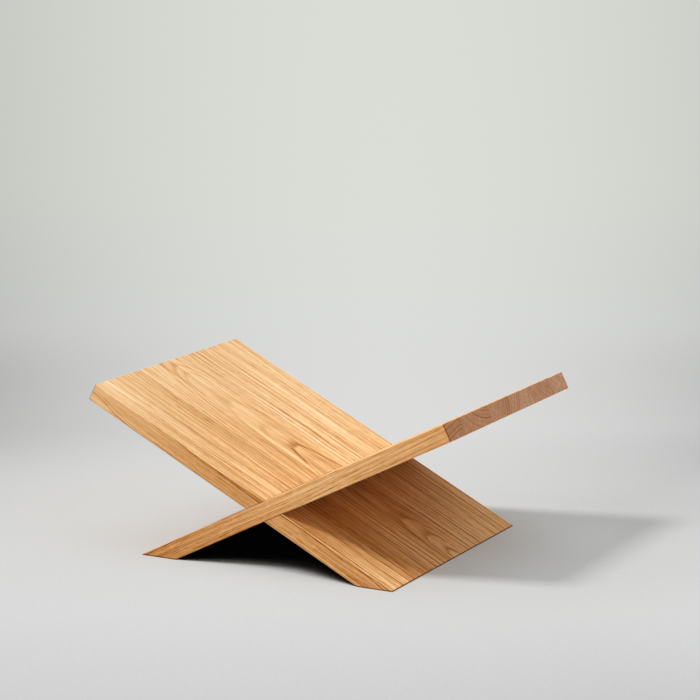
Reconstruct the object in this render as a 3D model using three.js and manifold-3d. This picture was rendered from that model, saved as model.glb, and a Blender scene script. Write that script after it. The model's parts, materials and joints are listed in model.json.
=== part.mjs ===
// Crossed bookstand: two solid oak boards, each glued up from staves, that slot through each
// other at a slant and stand as an X. The V above the crossing cradles an open book.
//
// Millimetres, +Z up. The origin lies on the ground under the crossing, halfway along the depth.
// -Y is the reader's side. The right board carries the right-hand pages and stands on the left
// foot; the left board is the same board turned half round about the upright axis.

import * as THREE from "three";
import { mergeVertices } from "three/addons/utils/BufferGeometryUtils.js";
import Module from "manifold-3d";

const wasm = await Module();
wasm.setup();

// ---- Driving dimensions (millimetres and degrees) ----

const BOARD_DEPTH = 295; // reader's edge to far edge
const BOARD_LENGTH = 399; // up the slope, from the blunted foot tip to the top end
const BOARD_THICKNESS = 19.5;
const FOOT_SPREAD = 300; // between the two blunted foot tips, on the ground
const TILT_DEG = 26.8; // slope of each board above the ground

const SHOULDER_CLEARANCE = 0.2; // between a slot's shoulder and the face that it hugs
const SLOT_END_CLEARANCE = 0.3; // between the bottoms of the two slots
const ARRIS_RADIUS = 1.0; // sanded round on every long edge
const TIP_HEIGHT = 1.2; // small upright flat that blunts the sharp foot tip

// Where each board's staves meet. The outer staves have their own widths, counted inwards from
// the edge that the slot leaves whole and from the slotted edge. Between them the right board has
// one more glue line, this far past the bottom of its slot, and the left board has none.
const RIGHT_BOARD = { wholeSide: [35, 66], pastSlotBottom: [5.5], slottedSide: [39, 51] };
const LEFT_BOARD = { wholeSide: [29, 77], pastSlotBottom: [], slottedSide: [41, 46] };

const ARC_SEGMENTS = 6; // facets on each eased edge
const CUT_MARGIN = 5; // how far a cutting solid reaches past what it cuts

// Oak, oiled: each stave comes from another plank, so the browns differ a little.
const OAK_COLOURS = ["#dcae74", "#d3a167", "#e0b57d", "#cf9b61", "#d9a96d", "#c9955c"];
const OAK_ROUGHNESS = 0.55;

// ---- Sizes that follow ----

const TILT = THREE.MathUtils.degToRad(TILT_DEG);
const TIP_RUN = TIP_HEIGHT / Math.sin(TILT); // what blunting takes off the sharp tip, up the slope
const FOOT_RUN = BOARD_THICKNESS / Math.tan(TILT); // the foot's bevel, measured up the slope
const TOP_END = TIP_RUN + BOARD_LENGTH; // up the slope from the sharp tip
const FOOT_REACH = FOOT_SPREAD / 2 + TIP_HEIGHT / Math.tan(TILT); // upright axis to sharp tip

// Each slot runs half the depth, less half the clearance between the two slot bottoms.
const SLOT_BOTTOM = -SLOT_END_CLEARANCE / 2;

// The boards' middles cross here.
const CROSSING_HEIGHT = FOOT_REACH * Math.tan(TILT) - BOARD_THICKNESS / 2 / Math.cos(TILT);
const CROSSING_UP_SLOPE = FOOT_REACH * Math.cos(TILT) + CROSSING_HEIGHT * Math.sin(TILT);

// A board is drawn flat: X up the slope from the sharp tip, Y from the whole edge to the slotted
// one, rest face at Z = 0. This matrix stands it up on its foot.
const STAND_UP = new THREE.Matrix4()
  .makeTranslation(-FOOT_REACH, 0, 0)
  .multiply(new THREE.Matrix4().makeRotationY(-TILT));
const HALF_TURN = new THREE.Matrix4().makeRotationZ(Math.PI);

// ---- Solids ----

function solid(geometry) {
  const bare = geometry.index ? geometry.toNonIndexed() : geometry.clone();
  bare.deleteAttribute("normal");
  bare.deleteAttribute("uv");
  const merged = mergeVertices(bare, 1e-4);
  return new wasm.Manifold(
    new wasm.Mesh({
      numProp: 3,
      vertProperties: Float32Array.from(merged.attributes.position.array),
      triVerts: Uint32Array.from(merged.index.array),
    }),
  );
}

function geometryOf(body) {
  const { numProp, numVert, vertProperties, triVerts } = body.getMesh();
  const positions = new Float32Array(numVert * 3);
  for (let i = 0; i < numVert; i++) {
    positions.set(vertProperties.subarray(i * numProp, i * numProp + 3), i * 3);
  }
  const indexed = new THREE.BufferGeometry()
    .setAttribute("position", new THREE.BufferAttribute(positions, 3))
    .setIndex(new THREE.BufferAttribute(triVerts, 1));
  const faceted = indexed.toNonIndexed();
  faceted.computeVertexNormals();
  return faceted;
}

function block(low, high) {
  const size = high.clone().sub(low);
  const middle = low.clone().add(high).multiplyScalar(0.5);
  return new THREE.BoxGeometry(size.x, size.y, size.z).translate(...middle);
}

// The board seen from its edge: a bevelled foot that lies flat on the ground, and a square top.
function sideOutline() {
  const r = ARRIS_RADIUS;
  const outline = new THREE.Shape();
  outline.moveTo(TIP_RUN, 0);
  outline.lineTo(TOP_END - r, 0);
  outline.absarc(TOP_END - r, -r, r, Math.PI / 2, 0, true);
  outline.lineTo(TOP_END, r - BOARD_THICKNESS);
  outline.absarc(TOP_END - r, r - BOARD_THICKNESS, r, 0, -Math.PI / 2, true);
  outline.lineTo(FOOT_RUN, -BOARD_THICKNESS);
  outline.lineTo(TIP_RUN * Math.cos(TILT) ** 2, -TIP_HEIGHT * Math.cos(TILT));
  outline.closePath();
  return outline;
}

// The board seen from its top end: a rectangle with its four long edges sanded round.
function endOutline() {
  const half = BOARD_DEPTH / 2;
  const r = ARRIS_RADIUS;
  const low = r - BOARD_THICKNESS;
  const outline = new THREE.Shape();
  outline.absarc(half - r, -r, r, 0, Math.PI / 2, false);
  outline.absarc(r - half, -r, r, Math.PI / 2, Math.PI, false);
  outline.absarc(r - half, low, r, Math.PI, 1.5 * Math.PI, false);
  outline.absarc(half - r, low, r, 1.5 * Math.PI, 2 * Math.PI, false);
  outline.closePath();
  return outline;
}

// The board seen square to its rest face: the top end's two corners are sanded round too.
function faceOutline() {
  const half = BOARD_DEPTH / 2;
  const r = ARRIS_RADIUS;
  const outline = new THREE.Shape();
  outline.moveTo(-CUT_MARGIN, -half);
  outline.lineTo(TOP_END - r, -half);
  outline.absarc(TOP_END - r, r - half, r, -Math.PI / 2, 0, false);
  outline.absarc(TOP_END - r, half - r, r, 0, Math.PI / 2, false);
  outline.lineTo(-CUT_MARGIN, half);
  outline.closePath();
  return outline;
}

// The whole panel before its slot is cut: what the three outlines, each run through the board,
// have in common.
function panel() {
  const run = (outline, depth) =>
    new THREE.ExtrudeGeometry(outline, { depth, bevelEnabled: false, curveSegments: ARC_SEGMENTS });
  const side = run(sideOutline(), BOARD_DEPTH)
    .rotateX(Math.PI / 2)
    .translate(0, BOARD_DEPTH / 2, 0);
  const end = run(endOutline(), TOP_END + 2 * CUT_MARGIN)
    .rotateX(Math.PI / 2)
    .rotateZ(Math.PI / 2)
    .translate(-CUT_MARGIN, 0, 0);
  const face = run(faceOutline(), BOARD_THICKNESS + 2 * CUT_MARGIN)
    .translate(0, 0, -BOARD_THICKNESS - CUT_MARGIN);
  return solid(side).intersect(solid(end)).intersect(solid(face));
}

// What the other board needs to pass: its own slab with the shoulder clearance, from the slot's
// bottom out through the slotted edge. It is drawn flat in the other board's frame, stood up
// with that board, and brought back into this one's.
function slotCutter() {
  const reach = BOARD_THICKNESS / Math.tan(TILT) / 2 + CUT_MARGIN;
  const slab = block(
    new THREE.Vector3(
      CROSSING_UP_SLOPE - reach,
      -BOARD_DEPTH / 2 - CUT_MARGIN,
      -BOARD_THICKNESS - SHOULDER_CLEARANCE,
    ),
    new THREE.Vector3(CROSSING_UP_SLOPE + reach, -SLOT_BOTTOM, SHOULDER_CLEARANCE),
  );
  const otherStanding = HALF_TURN.clone().multiply(STAND_UP);
  return solid(slab.applyMatrix4(STAND_UP.clone().invert().multiply(otherStanding)));
}

// The whole edge, each glue line in turn, and the slotted edge, along Y.
function glueLines({ wholeSide, pastSlotBottom, slottedSide }) {
  const lines = [-BOARD_DEPTH / 2];
  for (const width of wholeSide) lines.push(lines.at(-1) + width);
  const fromSlottedEdge = [BOARD_DEPTH / 2];
  for (const width of slottedSide) fromSlottedEdge.unshift(fromSlottedEdge[0] - width);
  return [...lines, ...pastSlotBottom.map((past) => SLOT_BOTTOM + past), ...fromSlottedEdge];
}

// Cuts the slotted panel into its staves. One that starts before the slot's bottom stays in one
// piece, whole or notched, and one that lies beyond it is cut in two by the slot.
function staves(slotted, lines) {
  const start = -CUT_MARGIN;
  const finish = TOP_END + CUT_MARGIN;
  return lines.slice(1).flatMap((to, i) => {
    const from = lines[i];
    const y0 = i === 0 ? from - CUT_MARGIN : from;
    const y1 = i === lines.length - 2 ? to + CUT_MARGIN : to;
    const piece = (part, x0, x1) => {
      const low = new THREE.Vector3(x0, y0, -BOARD_THICKNESS - CUT_MARGIN);
      const high = new THREE.Vector3(x1, y1, CUT_MARGIN);
      const body = slotted.intersect(solid(block(low, high)));
      return { name: `stave_${i + 1}${part}`, plank: i, body };
    };
    if (from < SLOT_BOTTOM) return [piece("", start, finish)];
    return [piece("_lower", start, CROSSING_UP_SLOPE), piece("_upper", CROSSING_UP_SLOPE, finish)];
  });
}

function board(name, layout) {
  const group = new THREE.Group();
  group.name = name;
  const slotted = panel().subtract(slotCutter());
  for (const { name: stave, body, plank } of staves(slotted, glueLines(layout))) {
    const mesh = new THREE.Mesh(
      geometryOf(body),
      new THREE.MeshStandardMaterial({
        color: OAK_COLOURS[plank % OAK_COLOURS.length],
        roughness: OAK_ROUGHNESS,
        metalness: 0,
      }),
    );
    mesh.name = `${name}_${stave}`;
    group.add(mesh);
  }
  group.position.set(-FOOT_REACH, 0, 0);
  group.rotation.y = -TILT;
  return group;
}

// ---- The stand ----

const stand = new THREE.Group();
stand.name = "crossed_bookstand";
stand.add(board("right_board", RIGHT_BOARD));

const turned = new THREE.Group();
turned.rotation.z = Math.PI;
turned.add(board("left_board", LEFT_BOARD));
stand.add(turned);

export default stand;
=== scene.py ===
import json
import math

import bmesh
import bpy
from mathutils import Euler, Matrix, Vector


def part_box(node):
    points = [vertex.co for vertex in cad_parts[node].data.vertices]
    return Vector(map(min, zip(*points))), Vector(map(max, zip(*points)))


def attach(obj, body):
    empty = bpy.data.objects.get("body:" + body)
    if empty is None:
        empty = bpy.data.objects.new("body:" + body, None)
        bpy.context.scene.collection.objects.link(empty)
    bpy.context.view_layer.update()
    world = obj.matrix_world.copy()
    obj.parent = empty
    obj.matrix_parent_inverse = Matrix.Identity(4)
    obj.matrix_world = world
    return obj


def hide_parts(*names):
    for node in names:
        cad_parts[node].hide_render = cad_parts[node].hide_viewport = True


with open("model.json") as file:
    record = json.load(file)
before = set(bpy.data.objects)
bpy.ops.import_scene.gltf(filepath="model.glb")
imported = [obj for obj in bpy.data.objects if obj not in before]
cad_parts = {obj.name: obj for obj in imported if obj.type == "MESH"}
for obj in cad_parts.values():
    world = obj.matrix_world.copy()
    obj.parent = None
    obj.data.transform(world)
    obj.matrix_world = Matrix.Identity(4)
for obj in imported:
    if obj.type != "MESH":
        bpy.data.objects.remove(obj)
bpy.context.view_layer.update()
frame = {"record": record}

bl_info = {
    "name": "Crossed oak bookstand",
    "version": (1, 0, 0),
    "blender": (4, 5, 0),
    "location": "View3D > Sidebar > Bookstand",
    "description": "Two slotted oak boards that stand as an X, with their studio",
    "category": "Object",
}

# The scene is in metres. -Y is the reader's side and the ground is at Z = 0.
MM = 0.001


# ---------------------------------------------------------------- sizes from the frame

def record_mount(name):
    """A mount of the CAD record, by its name."""
    return next(m for m in frame["record"]["mounts"] if m["name"] == name)


def box_of(nodes):
    """The low and the high corner of the box round these CAD nodes."""
    corners = [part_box(node) for node in nodes]
    low = Vector(min(c[0][i] for c in corners) for i in range(3))
    high = Vector(max(c[1][i] for c in corners) for i in range(3))
    return low, high


BODIES = frame["record"]["behaviour"]["bodies"]

ARRIS_RADIUS = 1.0 * MM  # sanded round on every long edge
TIP_HEIGHT = 1.2 * MM  # small upright flat that blunts the sharp foot tip
SHOULDER_CLEARANCE = 0.2 * MM  # between a slot's shoulder and the face that it hugs
SLOT_BOTTOM = -0.15 * MM  # where each slot ends, from the middle of the depth
SHOULDER_EASE = 0.35  # the slot's own edges are eased by this share of the arris radius

# The right board's rest face gives the tilt, and where that face meets the ground is the foot's
# tip. A rounded corner touches its box a little inside the sharp one, which gives the rest.
REST = record_mount("right_book_rest")
TILT = math.acos(REST["axis"][2])
FOOT_REACH = REST["pos_m"][2] / math.tan(TILT) - REST["pos_m"][0]
RIGHT_BOX = box_of(BODIES["right_board"])
DEPTH = RIGHT_BOX[1].y - RIGHT_BOX[0].y
LENGTH = ARRIS_RADIUS + (
    RIGHT_BOX[1].z - ARRIS_RADIUS + ARRIS_RADIUS * math.cos(TILT)
) / math.sin(TILT)
THICKNESS = ARRIS_RADIUS + (
    RIGHT_BOX[1].x + FOOT_REACH - ARRIS_RADIUS - (LENGTH - ARRIS_RADIUS) * math.cos(TILT)
) / math.sin(TILT)

# The left board is the right one turned half round about the upright axis.
TURN = {"right_board": 0.0, "left_board": math.pi}


def stand_up(turn):
    """Stands a flat board on its foot: X up the slope, Y along the depth, Z out of the rest
    face."""
    return (
        Matrix.Rotation(turn, 4, "Z")
        @ Matrix.Translation((-FOOT_REACH, 0, 0))
        @ Matrix.Rotation(-TILT, 4, "Y")
    )


# ---------------------------------------------------------------- user settings

def srgb(text):
    """A hex colour as Blender's linear colour, with full alpha."""
    parts = [int(text[i : i + 2], 16) / 255 for i in (1, 3, 5)]
    linear = [c / 12.92 if c <= 0.04045 else ((c + 0.055) / 1.055) ** 2.4 for c in parts]
    return (*linear, 1.0)


class OakSettings(bpy.types.PropertyGroup):
    """Colours, grain and satin of the oiled oak"""

    wood: bpy.props.FloatVectorProperty(
        name="Oak", description="Dense pale wood between the pore bands, oiled",
        subtype="COLOR", size=4, min=0, max=1, default=srgb("#FDD09A"))
    end_grain: bpy.props.FloatVectorProperty(
        name="End grain", description="What cut ends take off the colour, because they drink oil",
        subtype="COLOR", size=4, min=0, max=1, default=srgb("#E6D0D8"))
    edge_grain: bpy.props.FloatVectorProperty(
        name="Edges", description="What long edges take off the colour: they soak up more oil",
        subtype="COLOR", size=4, min=0, max=1, default=srgb("#FFF1E2"))
    foot_face: bpy.props.FloatVectorProperty(
        name="Faces at the foot", description="What a face takes off the colour near its foot",
        subtype="COLOR", size=4, min=0, max=1, default=srgb("#FFF4E4"))
    earlywood: bpy.props.FloatProperty(
        name="Earlywood", description="How much the spring band of each ring darkens the wood",
        subtype="FACTOR", min=0, max=1, default=0.40)
    pores: bpy.props.FloatProperty(
        name="Pores", description="How much an open pore darkens the wood",
        subtype="FACTOR", min=0, max=1, default=0.42)
    rays: bpy.props.FloatProperty(
        name="Rays", description="How much the silky ray flecks brighten the wood",
        subtype="FACTOR", min=0, max=1, default=0.07)
    fibre: bpy.props.FloatProperty(
        name="Fibre", description="How much fine streaks along the grain vary the wood",
        subtype="FACTOR", min=0, max=2, default=0.7)
    streaks: bpy.props.FloatProperty(
        name="Streaks", description="How much long pale and dark streaks vary a face",
        subtype="FACTOR", min=0, max=2, default=0.42)
    green_depth: bpy.props.FloatProperty(
        name="Green depth", description="How much faster than red the green falls in dark wood",
        default=1.65)
    blue_depth: bpy.props.FloatProperty(
        name="Blue depth", description="How much faster than red the blue falls in dark wood",
        default=2.6)
    roughness: bpy.props.FloatProperty(
        name="Roughness", description="Satin of the sanded and oiled surface",
        min=0, max=1, default=0.48)
    pore_width: bpy.props.FloatProperty(
        name="Pore width", description="Width of a pore streak across the grain",
        subtype="DISTANCE", unit="LENGTH", default=1.1 * MM)
    pore_length: bpy.props.FloatProperty(
        name="Pore length", description="Length of a pore streak along the grain",
        subtype="DISTANCE", unit="LENGTH", default=16 * MM)


class StudioSettings(bpy.types.PropertyGroup):
    """Paper, lights and camera of the studio"""

    paper_near: bpy.props.FloatVectorProperty(
        name="Paper, near", description="Grey of the paper round the stand",
        subtype="COLOR", size=4, min=0, max=1, default=srgb("#D8D9D8"))
    paper_far: bpy.props.FloatVectorProperty(
        name="Paper, far", description="Grey of the paper far behind the stand",
        subtype="COLOR", size=4, min=0, max=1, default=srgb("#D8DAD4"))
    side_falloff: bpy.props.FloatProperty(
        name="Side falloff", description="Share of the grey lost at the sides of the light pool",
        subtype="FACTOR", min=0, max=1, default=0.25)
    shadow_lift: bpy.props.FloatProperty(
        name="Shadow lift", description="Share of the paper's grey that no shadow darkens",
        subtype="FACTOR", min=0, max=1, default=0.38)
    key_strength: bpy.props.FloatProperty(
        name="Key light", description="Strength of the lamp on the left", min=0, default=2.02)
    key_softness: bpy.props.FloatProperty(
        name="Key softness", description="Angle that the lamp's face fills, seen from the stand",
        subtype="ANGLE", default=math.radians(12))
    fill_overhead: bpy.props.FloatProperty(
        name="Fill overhead", description="Strength of the soft light from straight above",
        min=0, default=1.05)
    fill_level: bpy.props.FloatProperty(
        name="Fill, level", description="Strength of the soft light from the horizon",
        min=0, default=0.02)
    camera_azimuth: bpy.props.FloatProperty(
        name="Camera azimuth", description="How far the camera stands round to the right",
        subtype="ANGLE", default=math.radians(28.0))
    camera_elevation: bpy.props.FloatProperty(
        name="Camera elevation", description="Height of the camera above the horizon",
        subtype="ANGLE", default=math.radians(11.08))
    camera_distance: bpy.props.FloatProperty(
        name="Camera distance", description="From the camera to its target",
        subtype="DISTANCE", unit="LENGTH", default=2.79)


# ---------------------------------------------------------------- node helper

def add_node(tree, kind, sockets=None, stops=None, **settings):
    """Adds a node with its settings and links. sockets maps an input to a value or to what
    feeds it: an output, or a node whose first output in use is meant. stops are the
    (position, grey) pairs of a ramp."""
    made = tree.nodes.new(kind)
    for name, value in settings.items():
        setattr(made, name, value)
    for key, value in (sockets or {}).items():
        if isinstance(value, bpy.types.Node):
            value = next(output for output in value.outputs if output.enabled)
        if isinstance(value, bpy.types.NodeSocket):
            tree.links.new(value, made.inputs[key])
        else:
            made.inputs[key].default_value = value
    if stops:
        elements = made.color_ramp.elements
        while len(elements) < len(stops):
            elements.new(0.5)
        for element, (position, grey) in zip(elements, stops):
            element.position = position
            element.color = (grey, grey, grey, 1)
    return made


# ---------------------------------------------------------------- planks

class Plank:
    """The tree that a stave was sawn from. pith is where the middle of the trunk would lie, in
    mm across the depth and through the thickness from the stave's own middle on the rest face;
    lean is how far it drifts for each mm up the slope. ring is the yearly growth in mm. tones
    shade the foot, a place past the middle and the top end."""

    def __init__(self, seed, pith, lean, ring, tones):
        self.seed = seed
        self.pith = pith
        self.lean = lean
        self.ring = ring
        self.tones = tones


PLANKS = {
    "right_board_stave_1": Plank(1, (14, -150), (0.01, 0.05), 2.6, (0.88, 1.10, 0.92)),
    "right_board_stave_2": Plank(2, (28, 58), (0.006, -0.035), 4.6, (0.92, 0.96, 0.96)),
    "right_board_stave_3": Plank(3, (-58, 22), (-0.012, 0.04), 2.8, (0.95, 0.98, 1.0)),
    "right_board_stave_4": Plank(4, (-72, 40), (0.01, 0.02), 2.6, (0.93, 1.0, 1.06)),
    "right_board_stave_5": Plank(5, (52, 30), (-0.01, 0.03), 3.4, (0.95, 0.97, 0.99)),
    "right_board_stave_6": Plank(6, (44, 50), (0.004, 0.02), 3.4, (0.91, 1.0, 1.09)),
    "left_board_stave_1": Plank(7, (60, -30), (0.006, 0.015), 4.0, (0.88, 1.08, 1.03)),
    "left_board_stave_2": Plank(8, (-90, -50), (0.012, 0.03), 3.8, (1.0, 1.12, 1.0)),
    "left_board_stave_3": Plank(9, (-12, -24), (0.004, -0.10), 3.8, (0.98, 0.99, 1.02)),
    "left_board_stave_4": Plank(10, (-60, -48), (0.01, -0.05), 4.2, (0.76, 0.94, 0.98)),
    "left_board_stave_5": Plank(11, (-44, -70), (0.008, 0.02), 3.8, (1.02, 0.93, 1.09)),
}
SEED_STEP = (731.0, 53.0)  # mm between the places in the noise that two planks are cut from
TONE_PLACES = (0.0, 0.62, 1.0)  # where a plank's tones lie, as shares of the way up the slope
BRIGHTEST_TONE = 1.5  # a ramp holds nothing above 1, so the tones pass it divided by this


# ---------------------------------------------------------------- oiled oak

# How dark a ring is from one spring to the next. The porous band starts abruptly and fades into
# dense summer wood.
RING_SHADE = ((0.0, 0.6), (0.05, 1.0), (0.18, 0.78), (0.33, 0.24), (0.52, 0.05), (0.90, 0.0),
              (1.0, 0.6))

# Broad rays stand about 1.5 mm apart at 50 mm from the pith. They are a third of a millimetre
# thick, too thin to show in the render, so they are drawn coarser.
RAYS_PER_RADIAN = 34.0
RAY_REACH = 11.0  # mm outwards from the pith
RAY_HEIGHT = 9.0  # mm up the grain

CLOUD_DEPTH = 0.3  # how much slow changes along a stave vary the wood
DARKEST_SHADE = 0.05
PAINTED_LIGHT_AT_TIP = 1.08  # of a face at the foot's tip, painted a little lighter
PAINTED_SHADE_IN_CORNER = 0.72  # of a face in the corner under the crossing, darkened by painted shade
LOW_EDGE_PAINTED_SHADE = 0.22  # share of its shade that painted shade takes off an edge at the foot

# Colours that mark the wood, and how strongly: a painted highlight on the arris, a dark line at
# # the cut end's corner, painted shade on the foot's tip and the glue line.
ARRIS_PAINTED_HIGHLIGHT = srgb("#FFE8B8")
END_CORNER_LINE = srgb("#7A5238")
END_CORNER_LINE_DEPTH = 0.7
FOOT_TIP_PAINTED_SHADE = srgb("#6A5C50")
FOOT_TIP_SHADE_DEPTH = 0.85
GLUE_LINE = srgb("#8A5A30")
GLUE_LINE_DEPTH = 0.6

PORE_ROUGHNESS = 0.2  # what an open pore adds to the roughness of the satin
GRAIN_RELIEF = 0.02 * MM  # what sanding leaves of the grain's height
SOFT_SPECULAR = 0.05  # oil on bare oak gives next to no gloss at a glancing angle


def wood_noises(tree, solid, oak):
    """The noises that the wood is made of, by name."""
    pore = (oak.pore_length / MM, oak.pore_width / MM, oak.pore_width / MM)
    # How long, wide and thick the marks of each are in mm, with its detail and its roughness.
    sizes = {
        # The trunk isn't a straight cone: its rings lean over a hand's length, and ripple over
        # a finger's.
        "drift": ((190, 70, 70), 1.5, 0.5),
        "ripple": ((60, 26, 26), 2.0, 0.5),
        # A pore is 0.3 mm wide, a third of a pixel in the render, so it is drawn coarser.
        "pores": (pore, 2.0, 0.6),
        # Fibre is finer still. It is drawn as coarse as it needs to show.
        "fibre": ((120, 1.7, 1.7), 3.0, 0.6),
        # Flat-sawn rings cut a face at a low angle, so their streaks are wide there and thin on
        # an edge.
        "streaks": ((300, 4.4, 2.2), 4.0, 0.7),
        # Slow changes of colour along a stave.
        "cloud": ((170, 24, 24), 2.0, 0.5),
        # Where the painted highlight on the arris is stronger.
        "highlight_patches": ((60, 60, 60), 2.0, 0.5),
    }
    noises = {}
    for name, (spans, detail, roughness) in sizes.items():
        scaled = add_node(
            tree, "ShaderNodeVectorMath", {0: solid, 1: [1 / span for span in spans]},
            operation="MULTIPLY")
        noises[name] = add_node(
            tree, "ShaderNodeTexNoise",
            {"Vector": scaled, "Scale": 1.0, "Detail": detail, "Roughness": roughness})
    return noises


def trunk_place(tree, flat, noises, plank, middle):
    """Where in its trunk the wood grew: how far up the slope and how far from the pith, in mm,
    and on which bearing round it."""
    grown = flat
    for name, reach in (("drift", (0, 22, 6)), ("ripple", (0, 5, 3))):
        push = add_node(
            tree, "ShaderNodeVectorMath", {0: noises[name].outputs["Color"], 1: (0.5, 0.5, 0.5)},
            operation="SUBTRACT")
        grown = add_node(
            tree, "ShaderNodeVectorMath", {0: push, 1: reach, 2: grown},
            operation="MULTIPLY_ADD")
    grown = add_node(tree, "ShaderNodeSeparateXYZ", {"Vector": grown})
    up = grown.outputs["X"]
    across = add_node(
        tree, "ShaderNodeMath", {0: up, 1: -plank.lean[0], 2: grown.outputs["Y"]},
        operation="MULTIPLY_ADD")
    across = add_node(
        tree, "ShaderNodeMath", {0: across, 1: middle / MM + plank.pith[0]},
        operation="SUBTRACT")
    through = add_node(
        tree, "ShaderNodeMath", {0: up, 1: -plank.lean[1], 2: grown.outputs["Z"]},
        operation="MULTIPLY_ADD")
    through = add_node(
        tree, "ShaderNodeMath", {0: through, 1: plank.pith[1]}, operation="SUBTRACT")
    squares = add_node(tree, "ShaderNodeMath", {0: through, 1: through}, operation="MULTIPLY")
    squares = add_node(
        tree, "ShaderNodeMath", {0: across, 1: across, 2: squares}, operation="MULTIPLY_ADD")
    radius = add_node(tree, "ShaderNodeMath", {0: squares}, operation="SQRT")
    bearing = add_node(tree, "ShaderNodeMath", {0: through, 1: across}, operation="ARCTAN2")
    return up, radius, bearing


def spring_bands(tree, radius, plank):
    """How strongly the porous spring band of a ring shows, from 0 to 1."""
    # Good and bad years: rings are wider and their bands stronger in some years than in others.
    year = add_node(
        tree, "ShaderNodeTexNoise", {"W": radius, "Scale": 0.35 / plank.ring, "Detail": 2.0},
        noise_dimensions="1D")
    age = add_node(tree, "ShaderNodeMath", {0: radius, 1: plank.ring}, operation="DIVIDE")
    age = add_node(tree, "ShaderNodeMath", {0: year, 1: 3.0, 2: age}, operation="MULTIPLY_ADD")
    phase = add_node(tree, "ShaderNodeMath", {0: age}, operation="FRACT")
    band = add_node(tree, "ShaderNodeValToRGB", {"Fac": phase}, stops=RING_SHADE)
    strong = add_node(
        tree, "ShaderNodeTexNoise", {"W": age, "Scale": 1.1, "Detail": 0.0},
        noise_dimensions="1D")
    strong = add_node(
        tree, "ShaderNodeMapRange", {"Value": strong, "From Min": 0.30, "From Max": 0.70},
        interpolation_type="SMOOTHSTEP")
    strong = add_node(
        tree, "ShaderNodeMath", {0: strong, 1: 0.75, 2: 0.25}, operation="MULTIPLY_ADD")
    return add_node(tree, "ShaderNodeMath", {0: band, 1: strong}, operation="MULTIPLY")


def ray_flecks(tree, solid, radius, bearing):
    """Rays are thin sheets that stand on the pith: threads on a flat-sawn face and on a cut end,
    flecks where the saw ran along them."""
    round_pith = add_node(
        tree, "ShaderNodeMath", {0: bearing, 1: RAYS_PER_RADIAN}, operation="MULTIPLY")
    outwards = add_node(tree, "ShaderNodeMath", {0: radius, 1: RAY_REACH}, operation="DIVIDE")
    place = add_node(tree, "ShaderNodeSeparateXYZ", {"Vector": solid})
    up = add_node(
        tree, "ShaderNodeMath", {0: place.outputs["X"], 1: RAY_HEIGHT}, operation="DIVIDE")
    sheet = add_node(
        tree, "ShaderNodeCombineXYZ", {"X": round_pith, "Y": outwards, "Z": up})
    sheet = add_node(
        tree, "ShaderNodeTexNoise", {"Vector": sheet, "Scale": 1.0, "Detail": 1.0})
    return add_node(
        tree, "ShaderNodeMapRange", {"Value": sheet, "From Min": 0.54, "From Max": 0.68},
        interpolation_type="SMOOTHSTEP")


def oak_grain(tree, solid, flat, plank, middle, oak):
    """Everything that grew in the wood, by name."""
    grain = wood_noises(tree, solid, oak)
    up, radius, bearing = trunk_place(tree, flat, grain, plank, middle)
    grain["up"] = up
    grain["up_slope"] = add_node(
        tree, "ShaderNodeMath", {0: up, 1: LENGTH / MM}, operation="DIVIDE")
    grain["band"] = spring_bands(tree, radius, plank)
    grain["rays"] = ray_flecks(tree, solid, radius, bearing)
    for name, low, high in (("pores", 0.50, 0.62), ("streaks", 0.34, 0.66), ("highlight_patches", 0.35, 0.6)):
        grain[name] = add_node(
            tree, "ShaderNodeMapRange", {"Value": grain[name], "From Min": low, "From Max": high},
            interpolation_type="SMOOTHSTEP")
    # Pores are tubes along the grain, dashes on a face and dots on a cut end. Most are in the
    # spring bands.
    crowd = add_node(
        tree, "ShaderNodeMath", {0: grain["band"], 1: 0.70, 2: 0.30}, operation="MULTIPLY_ADD")
    grain["pores"] = add_node(
        tree, "ShaderNodeMath", {0: grain["pores"], 1: crowd}, operation="MULTIPLY")
    return grain


def facing(tree, place, turn, way):
    """1 where the surface faces this way on the flat board, or the opposite way. It fades out
    round an arris."""
    square = add_node(
        tree, "ShaderNodeVectorMath",
        {0: place.outputs["Normal"], 1: Euler((0, -TILT, turn)).to_matrix() @ Vector(way)},
        operation="DOT_PRODUCT")
    either = add_node(tree, "ShaderNodeMath", {0: square}, operation="ABSOLUTE")
    return add_node(
        tree, "ShaderNodeMapRange", {"Value": either, "From Min": 0.30, "From Max": 0.95},
        interpolation_type="SMOOTHSTEP")


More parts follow.
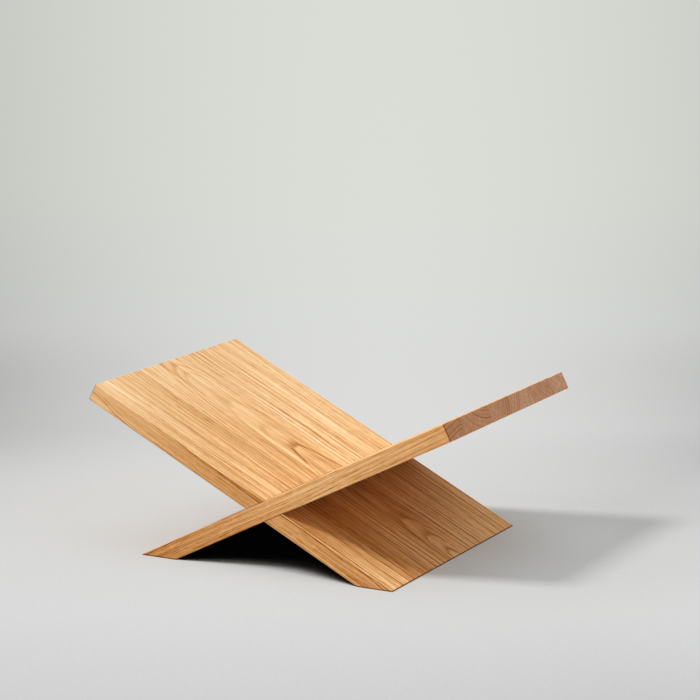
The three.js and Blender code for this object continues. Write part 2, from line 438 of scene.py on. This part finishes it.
def oak_figure(tree, grain, cut, edge, oak):
    """What the grain adds to the shade of plain oak."""
    threads = add_node(
        tree, "ShaderNodeMath", {0: grain["fibre"], 1: 0.5}, operation="SUBTRACT")
    figure = 0.0
    # Each pattern with its weight on a face, what a cut end adds to that, and its setting. A cut
    # end shows rings and rays most, and fibre least.
    for pattern, on_face, more_on_end, amount in (
        (grain["band"], -1.0, -0.7, oak.earlywood),
        (grain["pores"], -1.0, 0.6, oak.pores),
        (grain["rays"], 1.0, 2.2, oak.rays),
        (threads, 1.0, -0.75, oak.fibre),
    ):
        weight = add_node(
            tree, "ShaderNodeMath", {0: cut, 1: more_on_end, 2: on_face},
            operation="MULTIPLY_ADD")
        pattern = add_node(tree, "ShaderNodeMath", {0: pattern, 1: weight}, operation="MULTIPLY")
        figure = add_node(
            tree, "ShaderNodeMath", {0: pattern, 1: amount, 2: figure}, operation="MULTIPLY_ADD")

    # Streaks run over the faces. They fade out up an edge, and a cut end has none.
    calm = add_node(
        tree, "ShaderNodeMath", {0: edge, 1: grain["up_slope"]}, operation="MULTIPLY")
    streaky = add_node(tree, "ShaderNodeMath", {0: calm, 1: -0.7, 2: 1.0},
                       operation="MULTIPLY_ADD")
    streaky = add_node(tree, "ShaderNodeMath", {0: streaky, 1: cut}, operation="SUBTRACT")
    streaks = add_node(
        tree, "ShaderNodeMath", {0: grain["streaks"], 1: 0.5}, operation="SUBTRACT")
    streaks = add_node(tree, "ShaderNodeMath", {0: streaks, 1: streaky}, operation="MULTIPLY")
    figure = add_node(
        tree, "ShaderNodeMath", {0: streaks, 1: oak.streaks, 2: figure},
        operation="MULTIPLY_ADD")
    cloud = add_node(tree, "ShaderNodeMath", {0: grain["cloud"], 1: 0.5}, operation="SUBTRACT")
    figure = add_node(
        tree, "ShaderNodeMath", {0: cloud, 1: CLOUD_DEPTH, 2: figure}, operation="MULTIPLY_ADD")

    # The figure is strongest at the foot and calms down up the slope.
    contrast = add_node(
        tree, "ShaderNodeMath", {0: grain["up_slope"], 1: -0.60, 2: 1.2},
        operation="MULTIPLY_ADD")
    return add_node(tree, "ShaderNodeMath", {0: figure, 1: contrast}, operation="MULTIPLY")


def oak_tone(tree, grain, edge, plank):
    """The shade of plain oak along the stave, with painted shade in the corner under the crossing
    and on edges near the ground.
    """
    stops = [(place, tone / BRIGHTEST_TONE) for place, tone in zip(TONE_PLACES, plank.tones)]
    tone = add_node(tree, "ShaderNodeValToRGB", {"Fac": grain["up_slope"]}, stops=stops)
    tone = add_node(tree, "ShaderNodeMath", {0: tone, 1: BRIGHTEST_TONE}, operation="MULTIPLY")

    # Shade is painted into the corner under the crossing: a face darkens from the foot's tip to
    #     the crossing, this many mm up the slope. Edges and what lies above the crossing have none
    #     of it.
    crossing = side_outline()["rest_below_slot"][0] / MM
    corner_shade = add_node(
        tree, "ShaderNodeMapRange",
        {"Value": grain["up"], "From Min": 0.0, "From Max": crossing,
         "To Min": PAINTED_LIGHT_AT_TIP, "To Max": PAINTED_SHADE_IN_CORNER})
    above = add_node(
        tree, "ShaderNodeMapRange",
        {"Value": grain["up"], "From Min": crossing + 10, "From Max": crossing + 30},
        interpolation_type="SMOOTHSTEP")
    elsewhere = add_node(tree, "ShaderNodeMath", {0: edge, 1: above}, operation="MAXIMUM")
    corner_shade = add_node(tree, "ShaderNodeMix", {0: elsewhere, 2: corner_shade, 3: 1.0})
    tone = add_node(tree, "ShaderNodeMath", {0: tone, 1: corner_shade}, operation="MULTIPLY")

    # Painted shade: an edge darkens towards the ground.
    low_edge_shade = add_node(
        tree, "ShaderNodeMath", {0: 1.0, 1: grain["up_slope"]}, operation="SUBTRACT")
    low_edge_shade = add_node(tree, "ShaderNodeMath", {0: edge, 1: low_edge_shade}, operation="MULTIPLY")
    low_edge_shade = add_node(
        tree, "ShaderNodeMath", {0: low_edge_shade, 1: -LOW_EDGE_PAINTED_SHADE, 2: 1.0},
        operation="MULTIPLY_ADD")
    return add_node(tree, "ShaderNodeMath", {0: tone, 1: low_edge_shade}, operation="MULTIPLY")


def oak_colour(tree, grain, cut, edge, plank, oak):
    """The colour of the wood before anything has marked it."""
    figure = oak_figure(tree, grain, cut, edge, oak)
    tone = oak_tone(tree, grain, edge, plank)
    shade = add_node(tree, "ShaderNodeMath", {0: figure, 1: 1.0}, operation="ADD")
    shade = add_node(tree, "ShaderNodeMath", {0: shade, 1: tone}, operation="MULTIPLY")
    shade = add_node(
        tree, "ShaderNodeMath", {0: shade, 1: DARKEST_SHADE}, operation="MAXIMUM")
    # Darker oak is also redder.
    green = add_node(tree, "ShaderNodeMath", {0: shade, 1: oak.green_depth}, operation="POWER")
    blue = add_node(tree, "ShaderNodeMath", {0: shade, 1: oak.blue_depth}, operation="POWER")
    shades = add_node(tree, "ShaderNodeCombineXYZ", {"X": shade, "Y": green, "Z": blue})

    low = add_node(tree, "ShaderNodeMath", {0: 1.0, 1: grain["up_slope"]}, operation="SUBTRACT")
    face = add_node(tree, "ShaderNodeMath", {0: 1.0, 1: edge}, operation="SUBTRACT")
    low_face = add_node(tree, "ShaderNodeMath", {0: low, 1: face}, operation="MULTIPLY")
    colour = tuple(oak.wood)
    for factor, tint in ((1.0, shades), (edge, tuple(oak.edge_grain)),
                         (low_face, tuple(oak.foot_face)), (cut, tuple(oak.end_grain))):
        colour = add_node(
            tree, "ShaderNodeMix", {0: factor, 6: colour, 7: tint},
            data_type="RGBA", blend_type="MULTIPLY")
    return colour


def oak_marks(tree, colour, place, flat, highlight_patches, start, stop):
    """Marks the colour with a painted highlight on the upper arris, a dark line down the front
    corner of the cut end, painted shade on the foot's blunted tip, and the glue lines. Distances
    on the flat board are in mm."""
    where = add_node(tree, "ShaderNodeSeparateXYZ", {"Vector": flat})
    from_middle = add_node(
        tree, "ShaderNodeMath", {0: where.outputs["Y"]}, operation="ABSOLUTE")
    half = DEPTH / 2 / MM
    top = LENGTH / MM

    # A highlight is painted along the upper arris, stronger in some places than in others.
    beside = add_node(
        tree, "ShaderNodeMapRange",
        {"Value": from_middle, "From Min": half - 1.1, "From Max": half - 0.6},
        interpolation_type="SMOOTHSTEP")
    upper = add_node(
        tree, "ShaderNodeMapRange",
        {"Value": where.outputs["Z"], "From Min": -0.9, "From Max": -0.4},
        interpolation_type="SMOOTHSTEP")
    arris = add_node(tree, "ShaderNodeMath", {0: beside, 1: upper}, operation="MULTIPLY")
    highlight_strength = add_node(
        tree, "ShaderNodeMath", {0: highlight_patches, 1: 0.32, 2: 0.10}, operation="MULTIPLY_ADD")
    arris = add_node(tree, "ShaderNodeMath", {0: arris, 1: highlight_strength}, operation="MULTIPLY")

    # Where the front edge turns into the cut end, a dark line is drawn down the corner.
    beside = add_node(
        tree, "ShaderNodeMapRange",
        {"Value": from_middle, "From Min": half - 1.4, "From Max": half - 0.9},
        interpolation_type="SMOOTHSTEP")
    at_end = add_node(
        tree, "ShaderNodeMapRange",
        {"Value": where.outputs["X"], "From Min": top - 1.2, "From Max": top - 0.7},
        interpolation_type="SMOOTHSTEP")
    oiled = add_node(tree, "ShaderNodeMath", {0: beside, 1: at_end}, operation="MULTIPLY")
    oiled = add_node(
        tree, "ShaderNodeMath", {0: oiled, 1: END_CORNER_LINE_DEPTH}, operation="MULTIPLY")

    # Painted shade darkens the foot's blunted tip, where it meets the ground.
    ground = add_node(tree, "ShaderNodeSeparateXYZ", {"Vector": place.outputs["Object"]})
    tip_shade = add_node(
        tree, "ShaderNodeMapRange",
        {"Value": ground.outputs["Z"], "From Min": 1.6 * MM, "From Max": 0.9 * MM},
        interpolation_type="SMOOTHSTEP")
    tip_shade = add_node(
        tree, "ShaderNodeMath", {0: tip_shade, 1: FOOT_TIP_SHADE_DEPTH}, operation="MULTIPLY")
    marks = [("MIX", arris, ARRIS_PAINTED_HIGHLIGHT), ("MULTIPLY", oiled, END_CORNER_LINE),
             ("MULTIPLY", tip_shade, FOOT_TIP_PAINTED_SHADE)]

    # The glue line: a dark hair where this stave meets its neighbours.
    for side in (start, stop):
        if abs(side) > DEPTH / 2 - MM:
            continue
        from_glue = add_node(
            tree, "ShaderNodeMath", {0: where.outputs["Y"], 1: side / MM}, operation="SUBTRACT")
        from_glue = add_node(tree, "ShaderNodeMath", {0: from_glue}, operation="ABSOLUTE")
        hair = add_node(
            tree, "ShaderNodeMapRange", {"Value": from_glue, "From Min": 0.45, "From Max": 0.05},
            interpolation_type="SMOOTHSTEP")
        hair = add_node(
            tree, "ShaderNodeMath", {0: hair, 1: GLUE_LINE_DEPTH}, operation="MULTIPLY")
        marks.append(("MULTIPLY", hair, GLUE_LINE))

    for blend, factor, tint in marks:
        colour = add_node(
            tree, "ShaderNodeMix", {0: factor, 6: colour, 7: tint},
            data_type="RGBA", blend_type=blend)
    return colour


def oiled_oak(name, plank, start, stop, turn, oak):
    """Solid European oak, sawn, sanded and oiled. The oil deepens the open pores and the cut
    ends, and leaves a low satin with no gloss line. The grain is worked out in the solid, so the
    eye can follow a ring from a face over the arris on to the cut end."""
    material = bpy.data.materials.new(name)
    material.use_nodes = True
    tree = material.node_tree
    tree.nodes.clear()

    # The board laid flat, in mm: x up the slope, y along the depth, z out of the rest face.
    place = add_node(tree, "ShaderNodeTexCoord")
    flat = add_node(
        tree, "ShaderNodeMapping",
        {"Vector": place.outputs["Object"], "Location": stand_up(turn).translation,
         "Rotation": Euler((0, -TILT, turn)), "Scale": (MM, MM, MM)},
        vector_type="TEXTURE")
    seed_place = (plank.seed * SEED_STEP[0], plank.seed * SEED_STEP[1], 0)
    solid = add_node(tree, "ShaderNodeVectorMath", {0: flat, 1: seed_place}, operation="ADD")

    grain = oak_grain(tree, solid, flat, plank, (start + stop) / 2, oak)
    cut = facing(tree, place, turn, (1, 0, 0))
    edge = facing(tree, place, turn, (0, 1, 0))
    colour = oak_colour(tree, grain, cut, edge, plank, oak)
    colour = oak_marks(tree, colour, place, flat, grain["highlight_patches"], start, stop)

    # Pores are open, and duller than the sanded wood between them.
    proud = add_node(tree, "ShaderNodeMath", {0: grain["fibre"], 1: 0.35}, operation="MULTIPLY")
    height = add_node(
        tree, "ShaderNodeMath", {0: grain["pores"], 1: -1.0, 2: proud},
        operation="MULTIPLY_ADD")
    bump = add_node(
        tree, "ShaderNodeBump", {"Height": height, "Strength": 0.5, "Distance": GRAIN_RELIEF})
    rough = add_node(
        tree, "ShaderNodeMath", {0: grain["pores"], 1: PORE_ROUGHNESS, 2: oak.roughness},
        operation="MULTIPLY_ADD")
    surface = add_node(
        tree, "ShaderNodeBsdfPrincipled",
        {"Base Color": colour, "Roughness": rough, "Normal": bump, "IOR": 1.5,
         "Specular IOR Level": SOFT_SPECULAR})
    add_node(tree, "ShaderNodeOutputMaterial", {"Surface": surface})
    return material


# ---------------------------------------------------------------- boards

# The corners of a board, or of what the slot leaves of it, seen from its edge.
WHOLE = ("tip", "rest_below_slot", "rest_above_slot", "top_rest", "top_under",
         "under_above_slot", "under_below_slot", "heel", "toe")
LOWER = ("tip", "rest_below_slot", "under_below_slot", "heel", "toe")
UPPER = ("rest_above_slot", "top_rest", "top_under", "under_above_slot")
SLOT_FLOOR = ("rest_below_slot", "rest_above_slot", "under_above_slot", "under_below_slot")
SHOULDERS = ({"rest_below_slot", "under_below_slot"}, {"rest_above_slot", "under_above_slot"})
GROUND = {"heel", "toe"}
BLUNT_TIP = {"tip", "toe"}
TOP_END = {"top_rest", "top_under"}

FOLD_ANGLE = 0.3  # radians; two faces that meet at less than this are one flat face
BEVEL_SEGMENTS = 5


def shoulder(gap, depth_down):
    """How far up the slope a slot's shoulder lies, at depth_down below the rest face. gap is the
    shoulder's height above the other board's rest face."""
    reach = 2 * FOOT_REACH * math.sin(TILT)
    return (gap + reach + depth_down * math.cos(2 * TILT)) / math.sin(2 * TILT)


def side_outline():
    """Named corners of a board seen from its edge, as (up the slope, out of the rest face)."""
    below = -THICKNESS - SHOULDER_CLEARANCE
    tip_run = TIP_HEIGHT / math.sin(TILT)
    return {
        "tip": (tip_run, 0),
        "rest_below_slot": (shoulder(below, 0), 0),
        "rest_above_slot": (shoulder(SHOULDER_CLEARANCE, 0), 0),
        "top_rest": (LENGTH, 0),
        "top_under": (LENGTH, -THICKNESS),
        "under_above_slot": (shoulder(SHOULDER_CLEARANCE, THICKNESS), -THICKNESS),
        "under_below_slot": (shoulder(below, THICKNESS), -THICKNESS),
        "heel": (THICKNESS / math.tan(TILT), -THICKNESS),
        "toe": (tip_run * math.cos(TILT) ** 2, -TIP_HEIGHT * math.cos(TILT)),
    }


def edge_ease(edge, corner_of):
    """How far an edge is eased, as a share of the arris radius. Every edge that a hand can reach
    is eased; glue lines and the foot's ground edges aren't."""
    (key_a, y_a), (key_b, y_b) = (corner_of[vert] for vert in edge.verts)
    keys = {key_a, key_b}
    if key_a == key_b:
        if key_a in SLOT_FLOOR and edge.calc_face_angle(0) > FOLD_ANGLE:
            return SHOULDER_EASE
        return 1.0 if key_a in TOP_END else 0.0
    at_board_edge = y_a == y_b and abs(y_a) > DEPTH / 2 - MM / 100
    if not at_board_edge or keys <= GROUND or keys == BLUNT_TIP:
        return 0.0
    return SHOULDER_EASE if keys in SHOULDERS else 1.0


def stave_mesh(name, start, stop, part):
    """A stave from start to stop along the flat board's Y. part is whole, lower or upper; a
    whole stave that reaches past the slot's bottom is notched by the slot."""
    if part == "lower":
        spans = [(start, stop, [LOWER])]
    elif part == "upper":
        spans = [(start, stop, [UPPER])]
    elif stop > SLOT_BOTTOM:
        spans = [(start, SLOT_BOTTOM, [WHOLE]), (SLOT_BOTTOM, stop, [LOWER, UPPER])]
    else:
        spans = [(start, stop, [WHOLE])]

    outline = side_outline()
    mesh = bmesh.new()
    rows = {}
    for a, b, loops in spans:
        for y in (a, b):
            row = rows.setdefault(y, {})
            missing = [key for loop in loops for key in loop if key not in row]
            for key in missing:
                x, z = outline[key]
                row[key] = mesh.verts.new((x, y, z))
    for a, b, loops in spans:
        for loop in loops:
            for here, there in zip(loop, loop[1:] + loop[:1]):
                mesh.faces.new((rows[a][here], rows[a][there], rows[b][there], rows[b][here]))
    first_y, _, first_loops = spans[0]
    _, last_y, last_loops = spans[-1]
    for y, loops in ((first_y, first_loops), (last_y, last_loops)):
        for loop in loops:
            mesh.faces.new([rows[y][key] for key in loop])
    if len(spans) == 2:
        mesh.faces.new([rows[SLOT_BOTTOM][key] for key in SLOT_FLOOR])
    bmesh.ops.recalc_face_normals(mesh, faces=mesh.faces)

    corner_of = {vert: (key, y) for y, row in rows.items() for key, vert in row.items()}
    ease = mesh.edges.layers.float.new("bevel_weight_edge")
    for edge in mesh.edges:
        edge[ease] = edge_ease(edge, corner_of)
        edge.smooth = edge[ease] > 0
    for face in mesh.faces:
        face.smooth = True
    data = bpy.data.meshes.new(name)
    mesh.to_mesh(data)
    mesh.free()
    return data


def make_stave(node, body, oak, materials):
    """Makes a stave in place of its CAD node. The two halves of a slotted stave share the
    material of the plank that they come from."""
    turn = TURN[body]
    low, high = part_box(node)
    start, stop = sorted(math.cos(turn) * y for y in (low.y, high.y))
    plank, _, part = node.rpartition("_")
    if part not in ("lower", "upper"):
        plank = node
        part = "whole"
    if plank not in materials:
        materials[plank] = oiled_oak("oiled_oak_" + plank, PLANKS[plank], start, stop, turn, oak)
    data = stave_mesh(node + "_oak", start, stop, part)
    data.transform(stand_up(turn))
    data.materials.append(materials[plank])
    stave = bpy.data.objects.new(node + "_oak", data)
    bpy.context.scene.collection.objects.link(stave)
    bevel = stave.modifiers.new("eased edges", "BEVEL")
    bevel.limit_method = "WEIGHT"
    bevel.width = ARRIS_RADIUS
    bevel.segments = BEVEL_SEGMENTS
    bevel.harden_normals = True
    bevel.use_clamp_overlap = False
    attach(stave, body)
    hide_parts(node)


class BOOKSTAND_OT_right_board(bpy.types.Operator):
    """Makes the right board, stave by stave"""

    bl_idname = "bookstand.right_board"
    bl_label = "Right board"

    def execute(self, context):
        materials = {}
        for node in BODIES["right_board"]:
            make_stave(node, "right_board", context.scene.bookstand_oak, materials)
        return {"FINISHED"}


class BOOKSTAND_OT_left_board(bpy.types.Operator):
    """Makes the left board, stave by stave"""

    bl_idname = "bookstand.left_board"
    bl_label = "Left board"

    def execute(self, context):
        materials = {}
        for node in BODIES["left_board"]:
            make_stave(node, "left_board", context.scene.bookstand_oak, materials)
        return {"FINISHED"}


# ---------------------------------------------------------------- studio

# Lengths and places are in metres.
FLOOR_RADIUS = 24.0
FLOOR_SIDES = 96
FADE_START = 12.5  # where the paper starts to turn into the backdrop, so that no horizon shows
FADE_END = 20.0
POOL_HALF_WIDTH = 0.36  # of the pool of light, level with the stand
POOL_WIDENING = 0.13  # what it gains for each metre away from there
# How much of the side falloff shows, from 1 m in front of the stand, at 0, to 4 m behind it, at 1.
POOL_FALLOFF = ((0.05, 0.3), (0.14, 0.13), (0.19, 0.24), (0.24, 0.48), (0.30, 0.88),
                (0.37, 1.0), (0.47, 0.70), (0.84, 0.55))
POOL_LOSS_CAP = 1.5  # the falloff counts no further out than this
FRONT_LOSS = 0.09  # share of the grey that the nearest paper loses
PAINTED_SHADOW_REACH = 0.13  # how far off a board still closes the paper in, for the painted shadow under the stand
CLOSE_LIFT = 0.4  # share of the shadow lift that is left close to the stand
FILL_STEEPNESS = 1.5  # how quickly the fill falls off from straight above
PAPER_BY_FEET = srgb("#DBE0E2")
# Painted shadow: the near black that the paper turns under the stand.
PAINTED_SHADOW_UNDER_STAND = srgb("#0C0C0C")
KEY_DIRECTION = Vector((0.408, 0.493, -0.77))  # the way that the key light travels
CAMERA_TARGET = Vector((0.023, 0, 0.2137))
CAMERA_LENS = 133.8  # mm
SENSOR = 36.0  # mm


def pool_loss(tree, place, studio):
    """The share of its grey that the paper loses outside the pool of light, and how far it lies
    in front of the stand or behind it. The pool runs the way that the camera looks."""
    pool = add_node(
        tree, "ShaderNodeVectorRotate",
        {"Vector": place.outputs["Object"], "Angle": -studio.camera_azimuth})
    pool = add_node(tree, "ShaderNodeSeparateXYZ", {"Vector": pool})
    behind = pool.outputs["Y"]
    away = add_node(tree, "ShaderNodeMath", {0: behind}, operation="ABSOLUTE")
    half_width = add_node(
        tree, "ShaderNodeMath", {0: away, 1: POOL_WIDENING, 2: POOL_HALF_WIDTH},
        operation="MULTIPLY_ADD")
    # Its middle drifts from left to right of the stand.
    middle = add_node(
        tree, "ShaderNodeMapRange",
        {"Value": behind, "From Min": -0.1, "From Max": 0.55, "To Min": -0.25, "To Max": 0.05})
    aside = add_node(
        tree, "ShaderNodeMath", {0: pool.outputs["X"], 1: middle}, operation="SUBTRACT")
    aside = add_node(tree, "ShaderNodeMath", {0: aside, 1: half_width}, operation="DIVIDE")
    aside = add_node(tree, "ShaderNodeMath", {0: aside, 1: aside}, operation="MULTIPLY")
    aside = add_node(
        tree, "ShaderNodeMath", {0: aside, 1: POOL_LOSS_CAP}, operation="MINIMUM")
    along = add_node(
        tree, "ShaderNodeMath", {0: behind, 1: 0.2, 2: 0.2}, operation="MULTIPLY_ADD")
    thin = add_node(tree, "ShaderNodeValToRGB", {"Fac": along}, stops=POOL_FALLOFF)
    thin.color_ramp.interpolation = "EASE"
    loss = add_node(tree, "ShaderNodeMath", {0: aside, 1: thin}, operation="MULTIPLY")
    loss = add_node(
        tree, "ShaderNodeMath", {0: loss, 1: studio.side_falloff}, operation="MULTIPLY")
    front = add_node(
        tree, "ShaderNodeMapRange",
        {"Value": behind, "From Min": -0.28, "From Max": -0.56, "To Max": FRONT_LOSS})
    loss = add_node(tree, "ShaderNodeMath", {0: loss, 1: front}, operation="ADD")
    return loss, away


def beside_feet(tree, place):
    """1 on the paper to the left and right of the feet, fading out round it."""
    ground = add_node(tree, "ShaderNodeSeparateXYZ", {"Vector": place.outputs["Object"]})
    sideways = add_node(
        tree, "ShaderNodeMath", {0: ground.outputs["X"]}, operation="ABSOLUTE")
    fades = []
    for distance, outside, inside in (
        (sideways, 0.34, 0.17),
        (ground.outputs["Y"], -0.11, 0.0),
        (ground.outputs["Y"], 0.28, 0.10),
    ):
        fades.append(add_node(
            tree, "ShaderNodeMapRange",
            {"Value": distance, "From Min": outside, "From Max": inside},
            interpolation_type="SMOOTHSTEP"))
    along = add_node(tree, "ShaderNodeMath", {0: fades[1], 1: fades[2]}, operation="MULTIPLY")
    return add_node(tree, "ShaderNodeMath", {0: fades[0], 1: along}, operation="MULTIPLY")


def paper_floor(studio):
    """Matt background paper: no gloss, and a faint mottle. It lies in a painted pool of light that
    thins out towards the sides, and shadow is painted near black close under the stand."""
    material = bpy.data.materials.new("matt_background_paper")
    material.use_nodes = True
    tree = material.node_tree
    tree.nodes.clear()

    place = add_node(tree, "ShaderNodeTexCoord")
    reach = add_node(
        tree, "ShaderNodeVectorMath", {0: place.outputs["Object"]}, operation="LENGTH")
    distant = add_node(
        tree, "ShaderNodeMapRange",
        {"Value": reach, "From Min": FADE_START, "From Max": FADE_END},
        interpolation_type="SMOOTHSTEP")
    loss, away = pool_loss(tree, place, studio)
    not_distant = add_node(tree, "ShaderNodeMath", {0: 1.0, 1: distant}, operation="SUBTRACT")
    loss = add_node(tree, "ShaderNodeMath", {0: loss, 1: not_distant}, operation="MULTIPLY")
    light = add_node(tree, "ShaderNodeMath", {0: 1.0, 1: loss}, operation="SUBTRACT")

    far = add_node(
        tree, "ShaderNodeMapRange", {"Value": away, "From Min": 0.3, "From Max": 3.0},
        interpolation_type="SMOOTHSTEP")
    grey = add_node(
        tree, "ShaderNodeMix", {0: far, 6: tuple(studio.paper_near), 7: tuple(studio.paper_far)},
        data_type="RGBA")
    grey = add_node(tree, "ShaderNodeVectorMath", {0: grey, "Scale": light}, operation="SCALE")
    # The oak throws a little warm light on the paper beside its feet, which cooler paper evens
    # out.
    beside = beside_feet(tree, place)
    grey = add_node(
        tree, "ShaderNodeMix", {0: beside, 6: grey, 7: PAPER_BY_FEET}, data_type="RGBA")
    # Paper is never quite even: a faint mottle about 4 mm across.
    mottle = add_node(
        tree, "ShaderNodeTexNoise",
        {"Vector": place.outputs["Object"], "Scale": 260.0, "Detail": 3.0, "Roughness": 0.6})
    mottle = add_node(
        tree, "ShaderNodeMath", {0: mottle, 1: 0.14, 2: 0.93}, operation="MULTIPLY_ADD")
    grey = add_node(tree, "ShaderNodeVectorMath", {0: grey, "Scale": mottle}, operation="SCALE")
    # Painted shadow: the paper turns near black where the boards close it in under the stand.
    occlusion = add_node(
        tree, "ShaderNodeAmbientOcclusion", {"Distance": PAINTED_SHADOW_REACH}, samples=32)
    unshadowed = add_node(
        tree, "ShaderNodeMapRange",
        {"Value": occlusion.outputs["AO"], "From Min": 0.12, "From Max": 0.38},
        interpolation_type="SMOOTHSTEP")
    colour = add_node(
        tree, "ShaderNodeMix", {0: unshadowed, 6: PAINTED_SHADOW_UNDER_STAND, 7: grey}, data_type="RGBA")

    # The camera sees part of the paper's own grey, which keeps the shadow on it light. Close to
    # the stand it sees less of it, and far away nothing else.
    matt = add_node(tree, "ShaderNodeBsdfDiffuse", {"Color": colour, "Roughness": 1.0})
    plain = add_node(tree, "ShaderNodeEmission", {"Color": colour, "Strength": 1.0})
    lift = add_node(
        tree, "ShaderNodeMapRange",
        {"Value": reach, "From Min": 0.17, "From Max": 0.32,
         "To Min": studio.shadow_lift * CLOSE_LIFT, "To Max": studio.shadow_lift},
        interpolation_type="SMOOTHSTEP")
    lift = add_node(tree, "ShaderNodeMath", {0: lift, 1: distant}, operation="MAXIMUM")
    path = add_node(tree, "ShaderNodeLightPath")
    lift = add_node(
        tree, "ShaderNodeMath", {0: path.outputs["Is Camera Ray"], 1: lift},
        operation="MULTIPLY")
    paper = add_node(tree, "ShaderNodeMixShader", {0: lift, 1: matt, 2: plain})
    add_node(tree, "ShaderNodeOutputMaterial", {"Surface": paper})
    return material


def make_floor(studio):
    """Lays a disc of paper on the ground."""
    disc = bmesh.new()
    bmesh.ops.create_circle(disc, cap_ends=True, segments=FLOOR_SIDES, radius=FLOOR_RADIUS)
    data = bpy.data.meshes.new("paper_floor")
    disc.to_mesh(data)
    disc.free()
    data.materials.append(paper_floor(studio))
    floor = bpy.data.objects.new("paper_floor", data)
    bpy.context.scene.collection.objects.link(floor)


def make_fill(studio):
    """Fills the studio with soft light that comes mostly from above. The camera and reflections
    see the plain backdrop instead."""
    world = bpy.data.worlds.new("studio")
    world.use_nodes = True
    tree = world.node_tree
    tree.nodes.clear()
    way = add_node(tree, "ShaderNodeTexCoord")
    way = add_node(tree, "ShaderNodeSeparateXYZ", {"Vector": way.outputs["Generated"]})
    steep = add_node(
        tree, "ShaderNodeMath", {0: way.outputs["Z"], 1: FILL_STEEPNESS},
        operation="POWER", use_clamp=True)
    soft = add_node(
        tree, "ShaderNodeMapRange",
        {"Value": steep, "To Min": studio.fill_level, "To Max": studio.fill_overhead})
    fill = add_node(
        tree, "ShaderNodeBackground", {"Color": srgb("#FFFFFF"), "Strength": soft})
    backdrop = add_node(
        tree, "ShaderNodeBackground", {"Color": tuple(studio.paper_far), "Strength": 1.0})
    path = add_node(tree, "ShaderNodeLightPath")
    seen = add_node(
        tree, "ShaderNodeMath",
        {0: path.outputs["Is Camera Ray"], 1: path.outputs["Is Glossy Ray"]},
        operation="MAXIMUM")
    either = add_node(tree, "ShaderNodeMixShader", {0: seen, 1: fill, 2: backdrop})
    add_node(tree, "ShaderNodeOutputWorld", {"Surface": either})
    bpy.context.scene.world = world


def make_key(studio):
    """Hangs the large key light on the left, in front of the stand."""
    key = bpy.data.lights.new("key_softbox", "SUN")
    key.energy = studio.key_strength
    key.angle = studio.key_softness
    lamp = bpy.data.objects.new("key_softbox", key)
    lamp.rotation_mode = "QUATERNION"
    lamp.rotation_quaternion = KEY_DIRECTION.to_track_quat("-Z", "Y")
    bpy.context.scene.collection.objects.link(lamp)


def make_camera(studio):
    """Sets the camera up at the photograph's viewing angle."""
    lens = bpy.data.cameras.new("camera")
    lens.lens = CAMERA_LENS
    lens.sensor_width = SENSOR
    lens.clip_end = 2 * FLOOR_RADIUS
    camera = bpy.data.objects.new("camera", lens)
    azimuth = studio.camera_azimuth
    elevation = studio.camera_elevation
    back = Vector((math.sin(azimuth) * math.cos(elevation),
                   -math.cos(azimuth) * math.cos(elevation), math.sin(elevation)))
    camera.location = CAMERA_TARGET + back * studio.camera_distance
    camera.rotation_mode = "QUATERNION"
    camera.rotation_quaternion = (-back).to_track_quat("-Z", "Y")
    bpy.context.scene.collection.objects.link(camera)
    bpy.context.scene.camera = camera


class BOOKSTAND_OT_stage(bpy.types.Operator):
    """Makes the floor, the lights and the camera"""

    bl_idname = "bookstand.stage"
    bl_label = "Stage"

    def execute(self, context):
        context.scene.view_settings.view_transform = "Standard"
        for make in (make_floor, make_fill, make_key, make_camera):
            make(context.scene.bookstand_studio)
        return {"FINISHED"}


# ---------------------------------------------------------------- panel and registration

class BOOKSTAND_PT_panel(bpy.types.Panel):
    """Lists the settings and the operators"""

    bl_idname = "BOOKSTAND_PT_panel"
    bl_label = "Bookstand"
    bl_space_type = "VIEW_3D"
    bl_region_type = "UI"
    bl_category = "Bookstand"

    def draw(self, context):
        for settings in (context.scene.bookstand_oak, context.scene.bookstand_studio):
            for name in settings.__annotations__:
                self.layout.prop(settings, name)
        for operator in OPERATORS:
            self.layout.operator(operator.bl_idname)


OPERATORS = (BOOKSTAND_OT_right_board, BOOKSTAND_OT_left_board, BOOKSTAND_OT_stage)
CLASSES = (OakSettings, StudioSettings, *OPERATORS, BOOKSTAND_PT_panel)


def register():
    for cls in CLASSES:
        bpy.utils.register_class(cls)
    bpy.types.Scene.bookstand_oak = bpy.props.PointerProperty(type=OakSettings)
    bpy.types.Scene.bookstand_studio = bpy.props.PointerProperty(type=StudioSettings)


def unregister():
    del bpy.types.Scene.bookstand_studio
    del bpy.types.Scene.bookstand_oak
    for cls in reversed(CLASSES):
        bpy.utils.unregister_class(cls)


def main():
    """Makes the stand and its studio."""
    register()
    bpy.ops.bookstand.right_board()
    bpy.ops.bookstand.left_board()
    bpy.ops.bookstand.stage()


if __name__ == "__main__":
    main()
